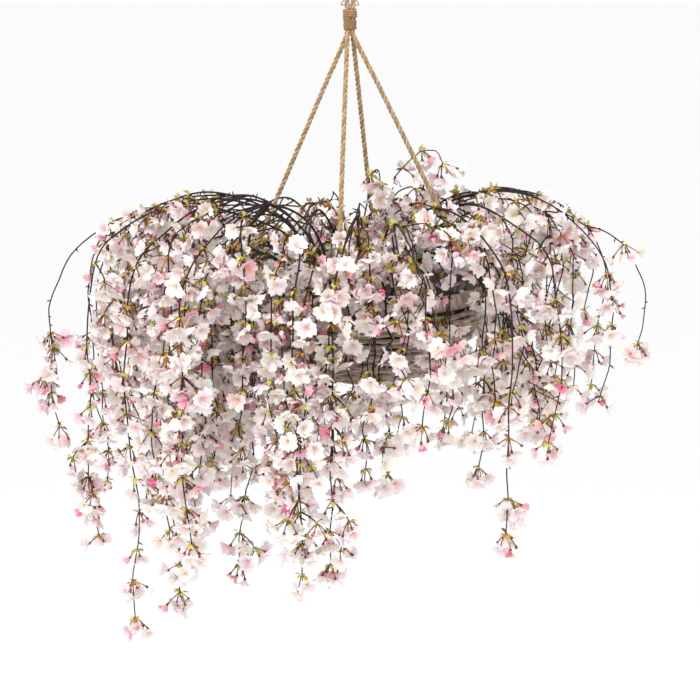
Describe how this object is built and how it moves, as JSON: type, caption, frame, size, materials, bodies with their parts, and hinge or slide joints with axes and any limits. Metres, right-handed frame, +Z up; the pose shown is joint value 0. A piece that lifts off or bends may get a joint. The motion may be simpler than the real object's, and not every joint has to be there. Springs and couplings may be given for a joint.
{
  "type": "flower hanging basket",
  "caption": "Weeping cherry-blossom sprays in a shallow grey willow bowl, hung on four jute ropes from a steel wire link.",
  "frame": {"origin": "inside of the steel link's apex, the point that bears on the ceiling hook", "axes": "+Z up along the line of the hook; -Y is the front that faces the viewer; +X is the viewer's right"},
  "size_m": [0.9846, 0.7411, 0.9726],
  "materials": {
    "steel_wire": "dull galvanised wire",
    "jute_rope": "three-strand twisted jute, golden tan, hairy",
    "jute_twine": "wound jute twine, brown",
    "grey_willow": "weathered grey-brown willow, dry and fibrous",
    "dry_foam": "dark green dry florist's foam",
    "blossom": "soft white and pink petals, slightly translucent",
    "stem": "near-black purple-brown bark with pale nodes",
    "bract": "yellow-green bracts and young leaves"
  },
  "bodies": {
    "root": {"hanging_link": "steel_wire", "rope_eye_left": "jute_rope", "rope_eye_right": "jute_rope", "top_whipping": "jute_twine", "basket_border": "grey_willow", "basket_wall": "grey_willow", "basket_base": "grey_willow", "florist_foam": "dry_foam", "rope_right": "jute_rope", "rope_back": "jute_rope", "rope_left": "jute_rope", "rope_front": "jute_rope", "lashing_right": "jute_twine", "lashing_back": "jute_twine", "lashing_left": "jute_twine", "lashing_front": "jute_twine", "long_spray_01": "blossom", "long_spray_02": "blossom", "long_spray_03": "blossom", "long_spray_04": "blossom", "long_spray_05": "blossom", "long_spray_06": "blossom", "long_spray_07": "blossom", "long_spray_08": "blossom", "long_spray_09": "blossom", "long_spray_10": "blossom", "long_spray_11": "blossom", "long_spray_12": "blossom", "long_spray_13": "blossom", "long_spray_14": "blossom", "long_spray_15": "blossom", "long_spray_16": "blossom", "long_spray_17": "blossom", "long_spray_18": "blossom", "long_spray_19": "blossom", "long_spray_20": "blossom", "short_spray_01": "blossom", "short_spray_02": "blossom", "short_spray_03": "blossom", "short_spray_04": "blossom", "short_spray_05": "blossom", "short_spray_06": "blossom", "short_spray_07": "blossom", "short_spray_08": "blossom", "short_spray_09": "blossom", "short_spray_10": "blossom", "short_spray_11": "blossom", "short_spray_12": "blossom", "crown_spray_01": "blossom", "crown_spray_02": "blossom", "crown_spray_03": "blossom", "crown_spray_04": "blossom"}
  },
  "joints": []
}
